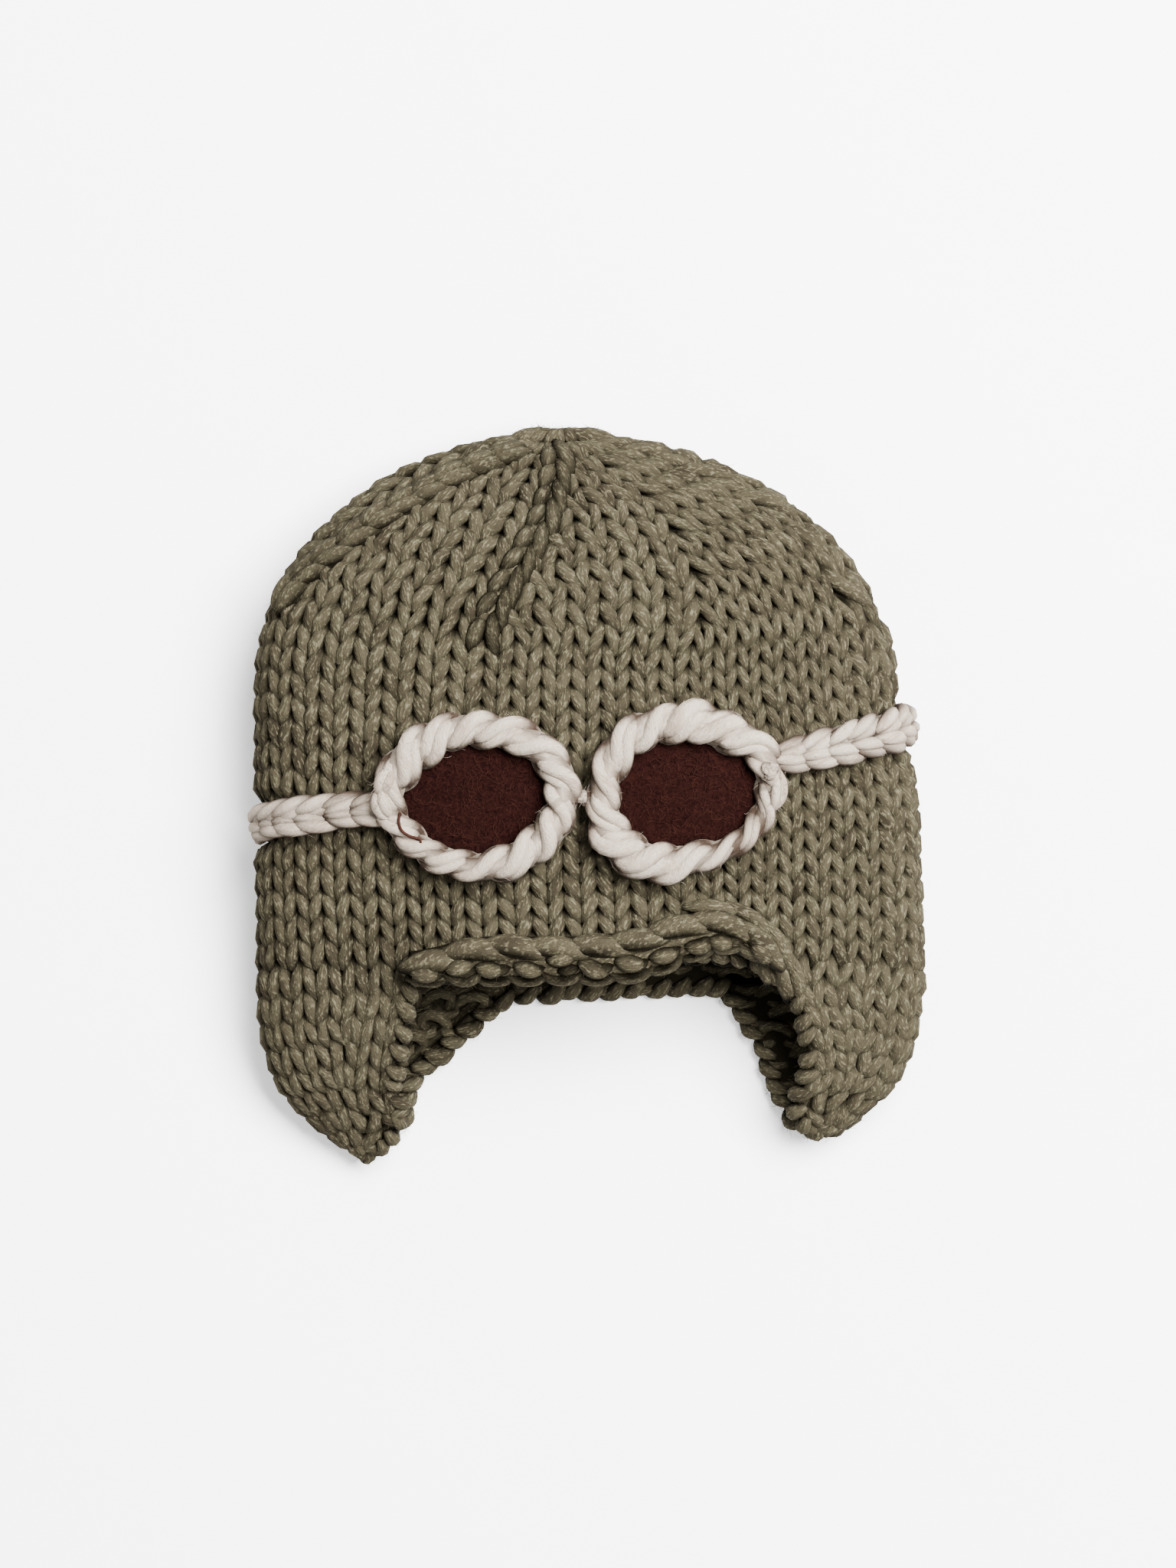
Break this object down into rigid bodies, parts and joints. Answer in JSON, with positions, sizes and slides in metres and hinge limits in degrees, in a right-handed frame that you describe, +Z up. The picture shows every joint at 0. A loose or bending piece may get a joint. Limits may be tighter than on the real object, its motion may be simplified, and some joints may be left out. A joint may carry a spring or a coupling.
{
  "type": "knitted aviator hat with crocheted goggles",
  "caption": "Chunky knitted child's aviator hat with ear flaps, a rolled forehead band and crocheted goggles sewn on, lying on its back.",
  "frame": {"origin": "middle of the underside of the lying hat, on the surface it lies on", "axes": "+Z up from the surface through both layers, +Y from the face opening to the crown, +X to the right seen from above"},
  "size_m": [0.1776, 0.1916, 0.0544],
  "materials": {
    "olive_yarn": "soft heathered wool blend yarn, matt",
    "cream_yarn": "soft loosely spun yarn, matt",
    "brown_felt": "dense wool felt, matt"
  },
  "bodies": {
    "root": {"knitted_shell": "olive_yarn", "forehead_band": "olive_yarn", "goggle_rim_left": "cream_yarn", "goggle_rim_right": "cream_yarn", "goggle_lens_left": "brown_felt", "goggle_lens_right": "brown_felt", "goggle_strap": "cream_yarn"}
  },
  "joints": []
}
